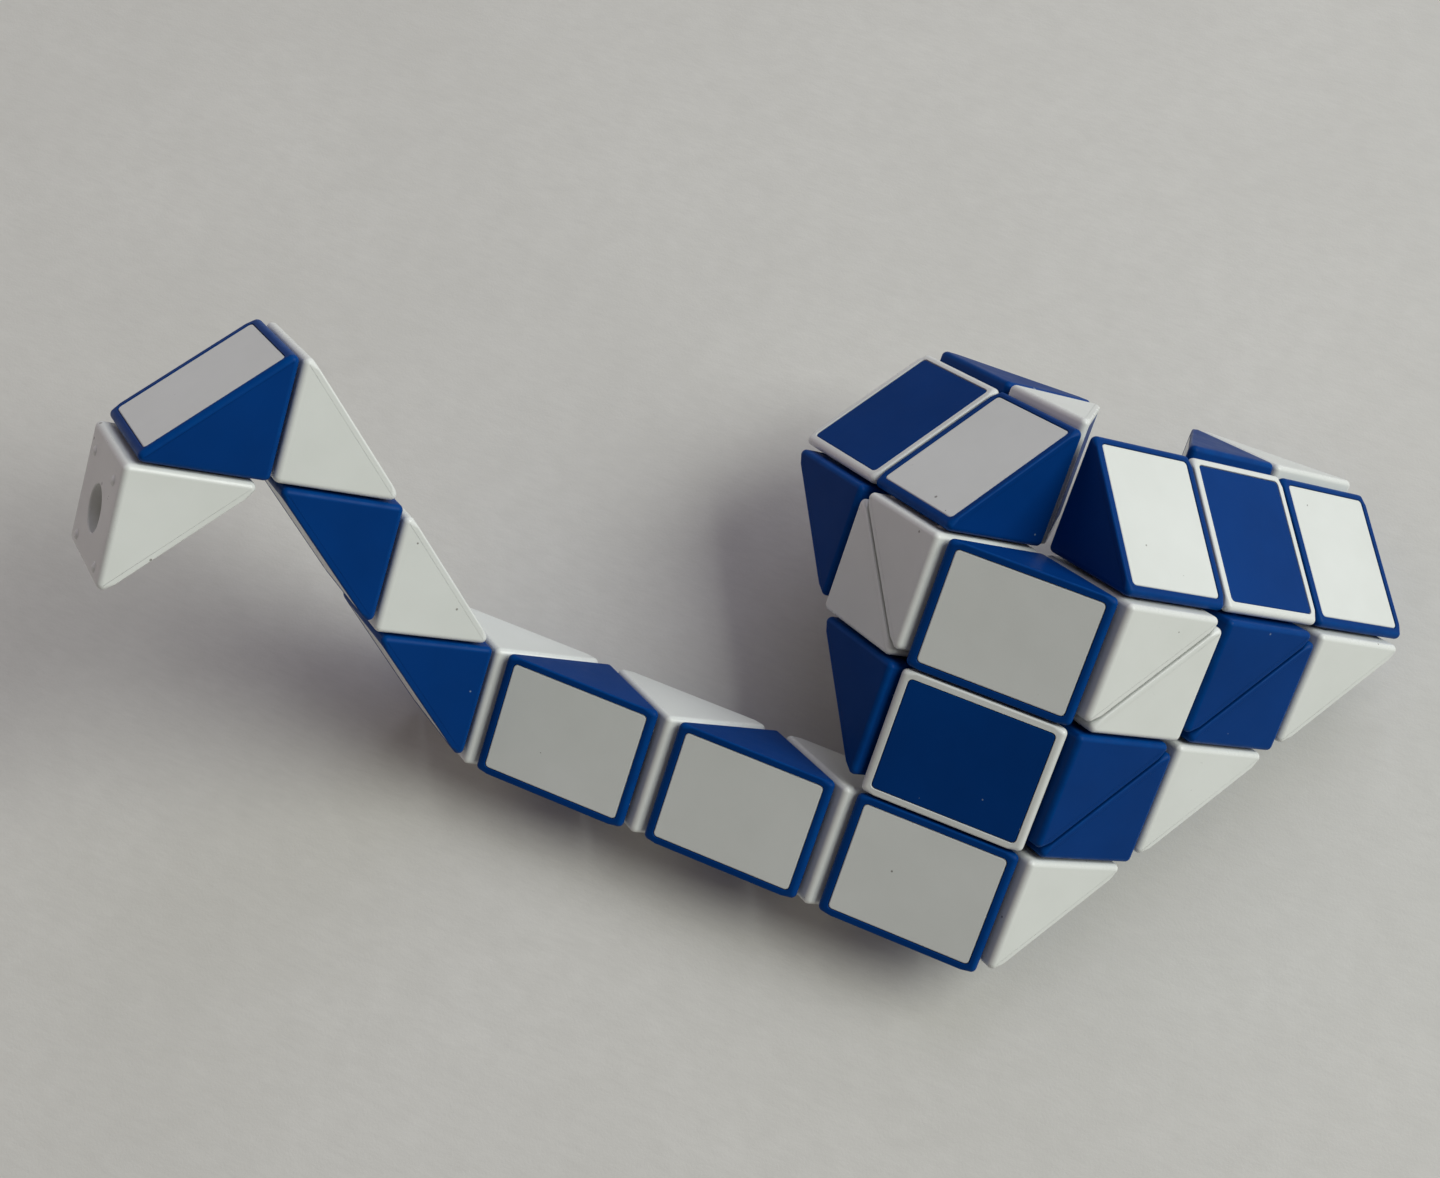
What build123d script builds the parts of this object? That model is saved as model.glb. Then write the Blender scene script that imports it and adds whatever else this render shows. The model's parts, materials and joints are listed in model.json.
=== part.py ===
from build123d import *
import math
import os

# A twisting snake puzzle: a chain of equal half-cube wedges. Each wedge turns against the next about
# the centre of the square face they share, held by a spring bolt. Shell and lid colours alternate.
# Millimetres. +Z is up as the folded figure stands, and the origin is under the middle of its box.

# ---------------------------------------------------------------- driving dimensions
PITCH = 18.0            # side of the cube that two wedges fill, centre to centre of the joints' lattice
CLEARANCE = 0.2         # every outer face stands this far inside the lattice cube
EDGE_R = 0.8            # rounding of all the outer edges
WALL = 1.5              # wall of the moulded shell
LID_T = 1.1             # lid plate
LID_GAP = 0.1           # gap all round the lid
LID_SUNK = 0.05         # the lid's face below the shell's rim
RIM = 0.95              # rim beside the lid, at the triangular ends
RIM_ACUTE = 2.3         # rim beside the lid, measured from the sharp corner of each thin edge
LID_CORNER_R = 0.6
LID_LUG_L = 5.0         # two lugs under the lid snap against the triangular walls
LID_LUG_T = 0.8
LID_LUG_H = 1.2

SOCKET_R = 3.05         # round socket in the entry face
SOCKET_DEPTH = 1.8
SOCKET_FLOOR = 0.6      # floor of the socket, which the spring bears on
SLEEVE_T = 0.9          # wall of the sleeve round the socket
BOLT_HOLE_R = 1.08      # hole through the socket's floor
POST_R = 2.98           # round post on the exit face, which turns in the next wedge's socket
POST_SHORT = 0.1        # the post stops this far short of the socket's floor
BOSS_R = 2.6            # boss behind the post, which the bolt threads into
BOSS_DEPTH = 4.4

BOLT_R = 1.0            # spring bolt: a self-tapping screw with a washer head
PILOT_R = 1.01          # its hole in the post and boss
BOLT_REACH = 4.0        # how far the bolt reaches into the wedge before the joint
HEAD_DEPTH = 4.25       # how deep the head's underside lies in the wedge after the joint
HEAD_R = 1.85
HEAD_T = 0.8
DRIVE_W = 0.5           # cross recess in the head
DRIVE_L = 2.0
DRIVE_DEPTH = 0.45
SPRING_WIRE_R = 0.17
SPRING_R = 1.6          # middle of the spring's wire
SPRING_TURNS = 3
SPRING_CLEAR = 0.03     # the spring's ends stop this far short of the floor and the head

PIP_OFFSET = 5.6        # four pips round the socket, four dimples round the post: a click at each quarter turn
PIP_BALL_R = 1.0
PIP_H = 0.3
DIMPLE_DEPTH = 0.35

# ---------------------------------------------------------------- the folded figure
# Quarter turns at the joints from the head to the tail. 0 carries the zigzag on, 2 folds a wedge back.
TURNS = [
    0, 2, 0, 0, 0, 3,           # head hook
    0, 0, 0, 0, 0, 3,           # straight staircase
    0, 0, 0, 0, 1, 3,           # top row
    2, 1, 1, 0, 0, 3, 1,        # back along the top row and down
    0, 0, 3, 1, 2, 3,           # inside of the knot
    3, 1, 3, 1,                 # tail, tucked into the knot
]
WEDGES = len(TURNS) + 1
# Lids that lie against another lid inside the knot are solids of their wedge's own node.
LIDS_IN_WEDGE = [14, 16, 20, 22, 23, 24, 26, 27, 28, 31, 33, 35]

HALF = PITCH / 2
DIAGONAL = math.sqrt(2)
SLEEVE_DEPTH = CLEARANCE + SOCKET_DEPTH + SOCKET_FLOOR
POST_TIP = CLEARANCE + SOCKET_DEPTH - POST_SHORT        # how far the post stands past the joint's plane
SIDE_WIDTH = PITCH - 2 * CLEARANCE                      # of the wedge between its triangular faces
SIDE_LENGTH = PITCH * DIAGONAL - 2 * CLEARANCE * (1 + DIAGONAL)   # of the lid's side, sharp edge to edge


# ---------------------------------------------------------------- one wedge
# Wedge frame: origin at the centre of the entry face, +Z into the wedge, and +X towards the
# right-angled edge. The exit face is square to +X, and the lid's face runs from one thin edge to the other.
def on_axis(z, x=0.0):
    """A plane square to the entry axis, z deep."""
    return Plane(origin=(x, 0, z), x_dir=(1, 0, 0), z_dir=(0, 0, 1))


def exit_plane(depth):
    """A plane parallel to the exit face, this far inside the lattice plane, facing into the wedge."""
    return Plane(origin=(HALF - depth, 0, HALF), x_dir=(0, 0, 1), z_dir=(-1, 0, 0))


def lid_plane(depth):
    """A plane parallel to the lid's face, this far inside the lattice plane, facing into the wedge."""
    inward = depth / DIAGONAL
    return Plane(origin=(inward, 0, HALF - inward), x_dir=(1, 0, 1), z_dir=(1, 0, -1))


def prism(inset_square, inset_triangle, inset_lid):
    """A triangular prism whose faces stand these distances inside the half cube's."""
    low = inset_square
    high = HALF - inset_square
    # on the lid's plane z = x + HALF, moved inward
    shift = inset_lid * DIAGONAL
    corners = [
        (high, low),
        (low + shift - HALF, low),
        (high, high + HALF - shift),
    ]
    face = Plane.XZ * Polygon(*corners, align=None)
    return extrude(face, amount=HALF - inset_triangle, both=True)


def drill(plane, radius, depth):
    """A round solid of this depth from the plane along its normal."""
    return plane * extrude(Circle(radius), amount=depth)


def four_spots():
    """Places of the pips and dimples round a joint's axis."""
    return [(x, y) for x in (-PIP_OFFSET, PIP_OFFSET) for y in (-PIP_OFFSET, PIP_OFFSET)]


def make_shell():
    body = prism(CLEARANCE, CLEARANCE, CLEARANCE)
    body = fillet(body.edges(), EDGE_R)

    # hollow, open under the lid, with the sleeve and the boss left standing
    hollow = prism(CLEARANCE + WALL, CLEARANCE + WALL, CLEARANCE + LID_T)
    hollow -= drill(on_axis(0), SOCKET_R + SLEEVE_T, SLEEVE_DEPTH)
    hollow -= drill(exit_plane(0), BOSS_R, BOSS_DEPTH)
    body -= hollow

    # pocket for the lid
    pocket = RectangleRounded(SIDE_LENGTH - 2 * RIM_ACUTE, SIDE_WIDTH - 2 * RIM, LID_CORNER_R)
    body -= lid_plane(0) * extrude(pocket, amount=CLEARANCE + LID_SUNK + LID_T)

    # entry face: socket, bolt hole and pips
    body -= drill(on_axis(0), SOCKET_R, CLEARANCE + SOCKET_DEPTH)
    body -= drill(on_axis(0), BOLT_HOLE_R, SLEEVE_DEPTH + 1)
    for x, y in four_spots():
        ball = Pos(x, y, CLEARANCE + PIP_BALL_R - PIP_H) * Sphere(PIP_BALL_R)
        body += ball & (Pos(x, y, CLEARANCE) * Box(4, 4, 1))

    # exit face: post, pilot hole and dimples
    body += drill(exit_plane(-POST_TIP), POST_R, POST_TIP + CLEARANCE + WALL)
    body -= drill(exit_plane(-POST_TIP), PILOT_R, POST_TIP + BOSS_DEPTH)
    for x, y in four_spots():
        ball_x = HALF - CLEARANCE + PIP_BALL_R - DIMPLE_DEPTH
        body -= Pos(ball_x, x, HALF + y) * Sphere(PIP_BALL_R)
    return body


def make_lid():
    length = SIDE_LENGTH - 2 * (RIM_ACUTE + LID_GAP)
    width = SIDE_WIDTH - 2 * (RIM + LID_GAP)
    outside = CLEARANCE + LID_SUNK
    lid = lid_plane(outside) * extrude(RectangleRounded(length, width, LID_CORNER_R), amount=LID_T)
    lug_y = HALF - CLEARANCE - WALL - LID_GAP - LID_LUG_T / 2
    for side in (-1, 1):
        lug = Pos(0, side * lug_y) * Rectangle(LID_LUG_L, LID_LUG_T)
        lid += lid_plane(outside + LID_T) * extrude(lug, amount=LID_LUG_H)
    return lid


def make_bolt():
    """The bolt of a wedge's entry joint: its head is in this wedge, and its thread in the wedge before."""
    bolt = drill(on_axis(HEAD_DEPTH), HEAD_R, HEAD_T)
    bolt += drill(on_axis(-BOLT_REACH), BOLT_R, BOLT_REACH + HEAD_DEPTH)
    for angle in (0, 90):
        slot = Rot(0, 0, angle) * Box(DRIVE_L, DRIVE_W, 2 * DRIVE_DEPTH)
        bolt -= Pos(0, 0, HEAD_DEPTH + HEAD_T) * slot
    return bolt


def make_spring():
    """The coil between the socket's floor and the bolt's head."""
    low = SLEEVE_DEPTH + SPRING_CLEAR + SPRING_WIRE_R
    rise = HEAD_DEPTH - SPRING_CLEAR - SPRING_WIRE_R - low
    path = Pos(0, 0, low) * Helix(pitch=rise / SPRING_TURNS, height=rise, radius=SPRING_R)
    start = Plane(origin=path @ 0, z_dir=path % 0)
    return sweep(start * Circle(SPRING_WIRE_R), path=path, is_frenet=True)


# ---------------------------------------------------------------- the chain
def entry_frames():
    """The entry frame of each wedge, the first at the origin, each next one from the turn at its joint."""
    to_exit = Plane(origin=(HALF, 0, HALF), x_dir=(0, 0, 1), z_dir=(1, 0, 0)).location
    frames = [Location((0, 0, 0))]
    for turns in TURNS:
        frames.append(frames[-1] * to_exit * Rot(0, 0, 90 * turns))
    return frames


def standing():
    """The turn that stands the chain on the corners it rests on. A long diagonal of the lattice becomes +Z,
    and the staircase's direction, a diagonal of the lattice's faces, becomes +X."""
    up = (1, 1, -1)
    along_staircase = (0, 1, 1)
    return Plane(origin=(0, 0, 0), x_dir=along_staircase, z_dir=up).location.inverse()


def placed_frames(shell):
    """The wedges' entry frames as the figure stands, with the origin under the middle of its box."""
    frames = [standing() * frame for frame in entry_frames()]
    box = Compound(children=[shell.moved(frame) for frame in frames]).bounding_box()
    shift = Pos(-box.center().X, -box.center().Y, -box.min.Z)
    return [shift * frame for frame in frames]


def main():
    os.makedirs("parts", exist_ok=True)
    shell = make_shell()
    lid = make_lid()
    bolt = make_bolt()
    spring = make_spring()
    frames = placed_frames(shell)
    for index, frame in enumerate(frames):
        number = index + 1
        solids = [shell.moved(frame)]
        if index > 0:
            solids.append(spring.moved(frame))
        if number < WEDGES:
            solids.append(bolt.moved(frames[index + 1]))
        if number in LIDS_IN_WEDGE:
            solids.append(lid.moved(frame))
        else:
            export_step(lid.moved(frame), f"parts/lid_{number:02d}.step")
        export_step(Compound(children=solids), f"parts/wedge_{number:02d}.step")


if __name__ == "__main__":
    main()
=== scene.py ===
# %% [markdown]
# # A twisting snake puzzle, folded into a knot with a staircase tail
# The toy is a chain of thirty-six triangular wedges. Each one is half a cube, and it turns against the next
# on a round post with a spring bolt through it. White and blue wedges take turns along the chain.
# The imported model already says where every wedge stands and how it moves, so the lesson starts by loading it.
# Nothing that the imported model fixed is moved: each wedge is dressed in finer pieces that ride with it.

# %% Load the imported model
import json
import math

import bmesh
import bpy
from mathutils import Matrix, Vector


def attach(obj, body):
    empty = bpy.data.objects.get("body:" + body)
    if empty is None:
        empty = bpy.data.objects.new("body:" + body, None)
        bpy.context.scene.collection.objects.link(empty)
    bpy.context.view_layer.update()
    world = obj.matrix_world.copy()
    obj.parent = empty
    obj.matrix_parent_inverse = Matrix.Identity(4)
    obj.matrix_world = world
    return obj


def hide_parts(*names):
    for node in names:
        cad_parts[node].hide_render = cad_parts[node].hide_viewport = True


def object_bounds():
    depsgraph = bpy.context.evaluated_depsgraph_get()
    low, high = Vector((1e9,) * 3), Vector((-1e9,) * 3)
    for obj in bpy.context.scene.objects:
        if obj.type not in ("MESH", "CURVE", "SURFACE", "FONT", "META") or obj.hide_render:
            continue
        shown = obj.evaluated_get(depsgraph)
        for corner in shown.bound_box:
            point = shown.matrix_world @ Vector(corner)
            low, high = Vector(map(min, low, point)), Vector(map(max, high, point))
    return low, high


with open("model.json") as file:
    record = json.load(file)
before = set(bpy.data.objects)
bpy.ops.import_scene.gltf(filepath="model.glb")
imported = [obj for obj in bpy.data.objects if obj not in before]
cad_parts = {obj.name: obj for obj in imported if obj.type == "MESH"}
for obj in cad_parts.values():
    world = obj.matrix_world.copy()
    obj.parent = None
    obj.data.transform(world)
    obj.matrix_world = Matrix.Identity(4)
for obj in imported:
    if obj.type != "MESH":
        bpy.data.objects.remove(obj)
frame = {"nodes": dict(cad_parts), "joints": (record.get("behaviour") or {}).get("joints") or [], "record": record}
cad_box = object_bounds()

# %% [markdown]
# ## Where each wedge stands
# A wedge has two square faces at a right angle. The chain runs in through one, the entry face, and out
# through the other, the exit face, so the hinge axes of the two joints give the wedge its own two directions.
# One set of meshes can then be made at the origin, in millimetres, and copied to all thirty-six places.

# %% The lattice that the chain is folded on
WEDGES = 36
PITCH = 18.0  # side of the square faces, in millimetres
HALF = PITCH / 2
MM = 0.001

joint_named = {joint["name"]: joint for joint in frame["joints"]}
mount_named = {mount["name"]: mount for mount in frame["record"]["mounts"]}


def wedge_name(number):
    return f"wedge_{number:02d}"


def joint_after(number):
    return joint_named[f"twist_{number:02d}_{number + 1:02d}"]


def way_onward(number):
    """The direction in which the chain leaves this wedge, through the joint after it."""
    joint = joint_after(number)
    axis = Vector(joint["axis"])
    return axis if joint["child"] == wedge_name(number + 1) else -axis


# %% Each wedge's own frame
def wedge_place(number):
    """Turns a wedge's own millimetres into its place in the model. Its Z runs in through the middle of the
    entry face, where its origin lies, and its X runs out through the exit face."""
    if number == 1:
        way_in = -Vector(mount_named["head_socket"]["axis"])
    else:
        way_in = way_onward(number - 1)
    if number < WEDGES:
        way_out = way_onward(number)
    else:
        way_out = -way_onward(number - 2).cross(way_onward(number - 1))
    if number == 1:
        origin = Vector(joint_after(1)["pos_m"]) - HALF * MM * (way_in + way_out)
    else:
        origin = Vector(joint_after(number - 1)["pos_m"])
    axes = Matrix((way_out, way_in.cross(way_out), way_in)).transposed()
    return Matrix.Translation(origin) @ axes.to_4x4() @ Matrix.Scale(MM, 4)


places = {number: wedge_place(number) for number in range(1, WEDGES + 1)}
print("the head wedge's entry face is centred at", [round(v, 4) for v in places[1].translation])
print("the tail wedge's entry face is centred at", [round(v, 4) for v in places[WEDGES].translation])

# %% [markdown]
# ## The shell: half a cube with soft edges
# On the real toy the shell is injection moulded in one shot, with every outer edge rounded so that the
# faces slide past each other. A cube cut through its diagonal has the right faces at once, and a bevel
# gives the rounding. The two thin edges close at only 45 degrees, so for the same radius their bevel starts
# further back from the edge than on the square corners, and they are bevelled in a step of their own.

# %% Half a cube
CLEARANCE = 0.2  # each face stands back from the lattice plane by this
EDGE_ROUND = 0.8
ROUND_STEPS = 5
STRAIGHT = 0.999  # how nearly a face must look along a direction, as a cosine
SLOPE_WAY = Vector((-1, 0, 1)).normalized()  # outward, from the long sloping side
UP_SLOPE = Vector((1, 0, 1)).normalized()  # along it, in line with the chain's turn
SLOPE_MIDDLE = Vector((0, 0, HALF))
ENTRY_WAY = Vector((0, 0, -1))
EXIT_WAY = Vector((1, 0, 0))
END_WAYS = (Vector((0, 1, 0)), Vector((0, -1, 0)))


def half_cube():
    """A sharp wedge, its five faces set back from the lattice by the clearance."""
    thin_edge = CLEARANCE * (1 + math.sqrt(2))
    side = PITCH - CLEARANCE - thin_edge
    width = PITCH - 2 * CLEARANCE
    middle = Vector((HALF - CLEARANCE - side / 2, 0, CLEARANCE + side / 2))
    wedge = bmesh.new()
    bmesh.ops.create_cube(wedge, size=1, matrix=Matrix.LocRotScale(middle, None, (side, width, side)))
    everything = wedge.verts[:] + wedge.edges[:] + wedge.faces[:]
    bmesh.ops.bisect_plane(
        wedge, geom=everything, dist=0.001, plane_co=middle, plane_no=SLOPE_WAY, clear_outer=True
    )
    bmesh.ops.holes_fill(wedge, edges=[edge for edge in wedge.edges if edge.is_boundary])
    bmesh.ops.recalc_face_normals(wedge, faces=wedge.faces)
    return wedge


shell = half_cube()
print("half cube:", len(shell.faces), "faces")

# %% Round the three long edges, then the two outlines
THIN_ANGLE = math.radians(45)
CORE = CLEARANCE + EDGE_ROUND  # the roundings are centred this far inside the lattice planes
OUTLINE_ROUND = EDGE_ROUND - 0.01  # a hair less, because an outline runs round arcs of the full radius
WELD = 0.02  # closes up what is left of those arcs
thin_axes = [
    Vector((CORE * (1 + math.sqrt(2)) - HALF, 0, CORE)),
    Vector((HALF - CORE, 0, PITCH - CORE * (1 + math.sqrt(2)))),
]


def round_edges(mesh, edges, offset, steps):
    made = bmesh.ops.bevel(
        mesh, geom=edges, offset=offset, offset_type="OFFSET", affect="EDGES",
        segments=steps, profile=0.5, material=-1, clamp_overlap=False,
    )
    return made["verts"]


def true_up(verts, axes, radius):
    """Moves the vertices of a bevel to a true arc, because its profile is round only at a right angle."""
    for vert in verts:
        level = Vector((0, vert.co.y, 0))
        axis = min((axis + level for axis in axes), key=lambda point: (vert.co - point).length)
        vert.co = axis + (vert.co - axis).normalized() * radius


def is_long_edge(edge):
    return abs(edge.verts[0].co.y - edge.verts[1].co.y) > PITCH / 2


def is_square_corner(edge):
    spot = edge.verts[0].co
    return spot.x > HALF - CORE and spot.z < CORE


def is_on_end(edge):
    return all(abs(vert.co.y) > HALF - CLEARANCE - 0.001 for vert in edge.verts)


def print_closed(name, mesh):
    open_edges = sum(not edge.is_manifold for edge in mesh.edges)
    print(f"{name}: {len(mesh.faces)} faces, {open_edges} open edges, volume {mesh.calc_volume():.1f} mm3")


thin_edges = [edge for edge in shell.edges if is_long_edge(edge) and not is_square_corner(edge)]
thin_offset = EDGE_ROUND / math.tan(THIN_ANGLE / 2)
true_up(round_edges(shell, thin_edges, thin_offset, ROUND_STEPS + 3), thin_axes, EDGE_ROUND)
square_corner = [edge for edge in shell.edges if is_long_edge(edge) and is_square_corner(edge)]
round_edges(shell, square_corner, EDGE_ROUND, ROUND_STEPS)
outlines = [edge for edge in shell.edges if is_on_end(edge) and not is_long_edge(edge)]
round_edges(shell, outlines, OUTLINE_ROUND, ROUND_STEPS)
bmesh.ops.remove_doubles(shell, verts=shell.verts, dist=WELD)
bmesh.ops.recalc_face_normals(shell, faces=shell.faces)
print_closed("rounded shell", shell)

# %% [markdown]
# ## Openings in flat faces
# Every round feature of the wedge starts as a ring in a flat face: the socket, the post, the four pips and
# the four dimples. A flat face is easiest to open by taking it away, laying the rings in its plane and
# filling what is left between the outline and the rings. A ring can then be drawn in or out along a
# profile, as a turner would cut it, and closed at its end.

# %% Lay rings in a flat face
def flat_face(mesh, way):
    """The largest face that looks this way."""
    faces = [face for face in mesh.faces if face.normal.dot(way) > STRAIGHT]
    return max(faces, key=lambda face: face.calc_area())


def facing(centre, way):
    return Matrix.Translation(centre) @ way.to_track_quat("Z", "Y").to_matrix().to_4x4()


def ring_of(mesh, centre, way, radius, steps):
    made = bmesh.ops.create_circle(mesh, segments=steps, radius=radius, matrix=facing(centre, way))
    return list({edge for vert in made["verts"] for edge in vert.link_edges})


def open_face(mesh, face, make_rings):
    """Takes a flat face away and fills its plane again round the rings that make_rings lays in it."""
    outline = face.edges[:]
    way = face.normal.copy()
    bmesh.ops.delete(mesh, geom=[face], context="FACES_ONLY")
    rings = make_rings()
    edges = outline + [edge for ring in rings for edge in ring]
    bmesh.ops.triangle_fill(mesh, use_beauty=True, edges=edges, normal=way)
    return rings


# %% Draw a ring along a profile
def ring_centre(ring):
    points = {vert for edge in ring for vert in edge.verts}
    return sum((vert.co for vert in points), Vector()) / len(points)


def draw_ring(mesh, ring, way, steps):
    """Extrudes a ring by steps of (scale across, travel along way) and returns the last ring."""
    for scale, travel in steps:
        made = bmesh.ops.extrude_edge_only(mesh, edges=ring)["geom"]
        points = {item for item in made if isinstance(item, bmesh.types.BMVert)}
        ring = [item for item in made if isinstance(item, bmesh.types.BMEdge) and set(item.verts) <= points]
        centre = ring_centre(ring)
        bmesh.ops.scale(mesh, vec=(scale,) * 3, space=Matrix.Translation(-centre), verts=list(points))
        bmesh.ops.translate(mesh, vec=way * travel, verts=list(points))
    return ring


def turned(mesh, ring, way, start, profile):
    """Draws a ring along a profile of (radius, height) points, from its start point."""
    steps = []
    last_radius, last_height = start
    for radius, height in profile:
        steps.append((radius / last_radius, height - last_height))
        last_radius, last_height = radius, height
    return draw_ring(mesh, ring, way, steps)


def close_ring(mesh, ring):
    bmesh.ops.edgeloop_fill(mesh, edges=ring)


# %% [markdown]
# ## Entry face: the socket and the pips
# The entry face has a blind round socket that the post of the wedge before turns in, with a hole in its
# floor for the bolt. Round it, near the corners, stand four low pips that click into the dimples of the
# wedge before at each quarter turn. The pips are caps of a 1 mm ball, so the profile follows that ball.

# %% Cut the socket and raise the pips
ROUND_SIDES = 40
SOCKET_R = 3.05
SOCKET_DEPTH = 1.8
SOCKET_MOUTH = 0.12  # the mouth's edge is broken by this
SLEEVE_DEPTH = 2.6  # from the lattice plane to the inside of the wall under the socket
BOLT_HOLE_R = 1.08
PIP_OFFSET = 5.6
PIP_BALL_R = 1.0
PIP_H = 0.3
PIP_SIDES = 18


def ball_ring_radius(height, sunk):
    """Radius of the pip's ball at a height over the face, its centre being sunk under the face."""
    return math.sqrt(PIP_BALL_R ** 2 - (sunk + height) ** 2)


def four_corners(centre, across, along):
    return [centre + PIP_OFFSET * (i * across + j * along) for i in (-1, 1) for j in (-1, 1)]


entry_centre = Vector((0, 0, CLEARANCE))
pip_sunk = PIP_BALL_R - PIP_H
pip_foot = ball_ring_radius(0, pip_sunk)
pip_centres = four_corners(entry_centre, Vector((1, 0, 0)), Vector((0, 1, 0)))


def entry_rings():
    rings = [ring_of(shell, entry_centre, ENTRY_WAY, SOCKET_R + SOCKET_MOUTH, ROUND_SIDES)]
    rings += [ring_of(shell, centre, ENTRY_WAY, pip_foot, PIP_SIDES) for centre in pip_centres]
    return rings


socket_ring, *pip_rings = open_face(shell, flat_face(shell, ENTRY_WAY), entry_rings)
bolt_hole_ring = turned(
    shell, socket_ring, ENTRY_WAY, (SOCKET_R + SOCKET_MOUTH, 0),
    [(SOCKET_R, -SOCKET_MOUTH), (SOCKET_R, -SOCKET_DEPTH), (BOLT_HOLE_R, -SOCKET_DEPTH),
     (BOLT_HOLE_R, CLEARANCE - SLEEVE_DEPTH)],
)
pip_profile = [(ball_ring_radius(height, pip_sunk), height) for height in (0.07, 0.14, 0.2, 0.25, 0.285)]
for ring in pip_rings:
    close_ring(shell, turned(shell, ring, ENTRY_WAY, (pip_foot, 0), pip_profile))
print("entry face: a socket and", len(pip_rings), "pips,", len(shell.faces), "faces so far")

# %% [markdown]
# ## Exit face: the post and the dimples
# The post stands out of the exit face and turns in the next wedge's socket. It has a fine chamfer to lead
# it in, and a pilot hole down its middle that the bolt's thread bites into. The dimples are the pips turned
# inside out, a little deeper, so that a pip drops home in them.

# %% Raise the post and sink the dimples
POST_R = 2.98
POST_OUT = 2.1  # from the exit face to the post's tip
POST_CHAMFER = 0.15
PILOT_R = 1.01
BOSS_DEPTH = 4.4  # from the lattice plane to the inner end of the boss behind the post
DIMPLE_DEPTH = 0.35

exit_centre = Vector((HALF - CLEARANCE, 0, HALF))
dimple_sunk = PIP_BALL_R - DIMPLE_DEPTH
dimple_mouth = ball_ring_radius(0, dimple_sunk)
dimple_centres = four_corners(exit_centre, Vector((0, 1, 0)), Vector((0, 0, 1)))


def exit_rings():
    rings = [ring_of(shell, exit_centre, EXIT_WAY, POST_R, ROUND_SIDES)]
    rings += [ring_of(shell, centre, EXIT_WAY, dimple_mouth, PIP_SIDES) for centre in dimple_centres]
    return rings


post_ring, *dimple_rings = open_face(shell, flat_face(shell, EXIT_WAY), exit_rings)
pilot_ring = turned(
    shell, post_ring, EXIT_WAY, (POST_R, 0),
    [(POST_R, POST_OUT - POST_CHAMFER), (POST_R - POST_CHAMFER, POST_OUT), (PILOT_R + 0.1, POST_OUT),
     (PILOT_R, POST_OUT - 0.1), (PILOT_R, CLEARANCE - BOSS_DEPTH)],
)
dimple_profile = [(ball_ring_radius(depth, dimple_sunk), -depth) for depth in (0.08, 0.16, 0.23, 0.29, 0.335)]
for ring in dimple_rings:
    close_ring(shell, turned(shell, ring, EXIT_WAY, (dimple_mouth, 0), dimple_profile))
print("exit face: a post and", len(dimple_rings), "dimples,", len(shell.faces), "faces so far")

# %% [markdown]
# ## The long side: a pocket for the lid, and the hollow behind it
# The shell is hollow and open on its long sloping side, where a lid closes it. The pocket's mouth has
# rounded corners and stands on a ledge that the lid rests on. A rounded rectangle comes from bevelling the
# corner vertices of a plain one. Below the ledge the hollow runs down to the square corner, so its opening
# is drawn inwards and squeezed to a line.

# %% Rounded rectangles in the sloping side's own plane
EDGE_BREAK = 0.05
SIDE_LENGTH = PITCH * math.sqrt(2) - 2 * CLEARANCE / math.tan(math.radians(22.5))
SIDE_WIDTH = PITCH - 2 * CLEARANCE
RIM = 0.95  # shell left beside the lid at the triangular ends
RIM_ACUTE = 2.3  # and from the sharp corner of each thin edge
LID_GAP = 0.1
LID_CORNER_R = 0.6
LID_SUNK = 0.05
LID_T = 1.1
POCKET_LENGTH = SIDE_LENGTH - 2 * RIM_ACUTE
POCKET_WIDTH = SIDE_WIDTH - 2 * RIM

slope_turn = Matrix((UP_SLOPE, END_WAYS[0], SLOPE_WAY)).transposed()
slope_frame = Matrix.Translation(SLOPE_MIDDLE) @ slope_turn.to_4x4()


def rounded_panel(mesh, length, width, corner, depth, across=0.0):
    """A flat panel parallel to the sloping side, depth under the lattice plane. Returns its one face."""
    place = slope_frame @ Matrix.LocRotScale((0, across, -depth), None, (length, width, 1))
    made = bmesh.ops.create_grid(mesh, x_segments=1, y_segments=1, size=0.5, matrix=place)
    face = made["verts"][0].link_faces[0]
    if corner:
        bmesh.ops.bevel(
            mesh, geom=face.verts[:], offset=corner, offset_type="OFFSET", affect="VERTICES",
            segments=5, profile=0.5, material=-1, clamp_overlap=False,
        )
        to_slope = slope_frame.inverted()
        level = [f for f in mesh.faces if abs((to_slope @ f.calc_center_median()).z + depth) < 1e-4]
        face = max(level, key=lambda f: len(f.verts))
    return face


def panel_ring(mesh, *measures):
    """The outline of a panel, with its face taken away."""
    face = rounded_panel(mesh, *measures)
    ring = face.edges[:]
    bmesh.ops.delete(mesh, geom=[face], context="FACES_ONLY")
    return ring


# %% Sink the pocket and hollow the shell
WALL = 1.5
HOLLOW_WIDTH = SIDE_WIDTH - 2 * WALL
LEDGE_DEPTH = CLEARANCE + LID_SUNK + LID_T
hollow_corner = Vector((HALF - SLEEVE_DEPTH, 0, SLEEVE_DEPTH))
hollow_depth = -(slope_frame.inverted() @ hollow_corner).z
HOLLOW_LENGTH = 2 * (hollow_depth - LEDGE_DEPTH)


def pocket_rings():
    length, width = POCKET_LENGTH + 2 * EDGE_BREAK, POCKET_WIDTH + 2 * EDGE_BREAK
    return [panel_ring(shell, length, width, LID_CORNER_R + EDGE_BREAK, CLEARANCE)]


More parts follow.
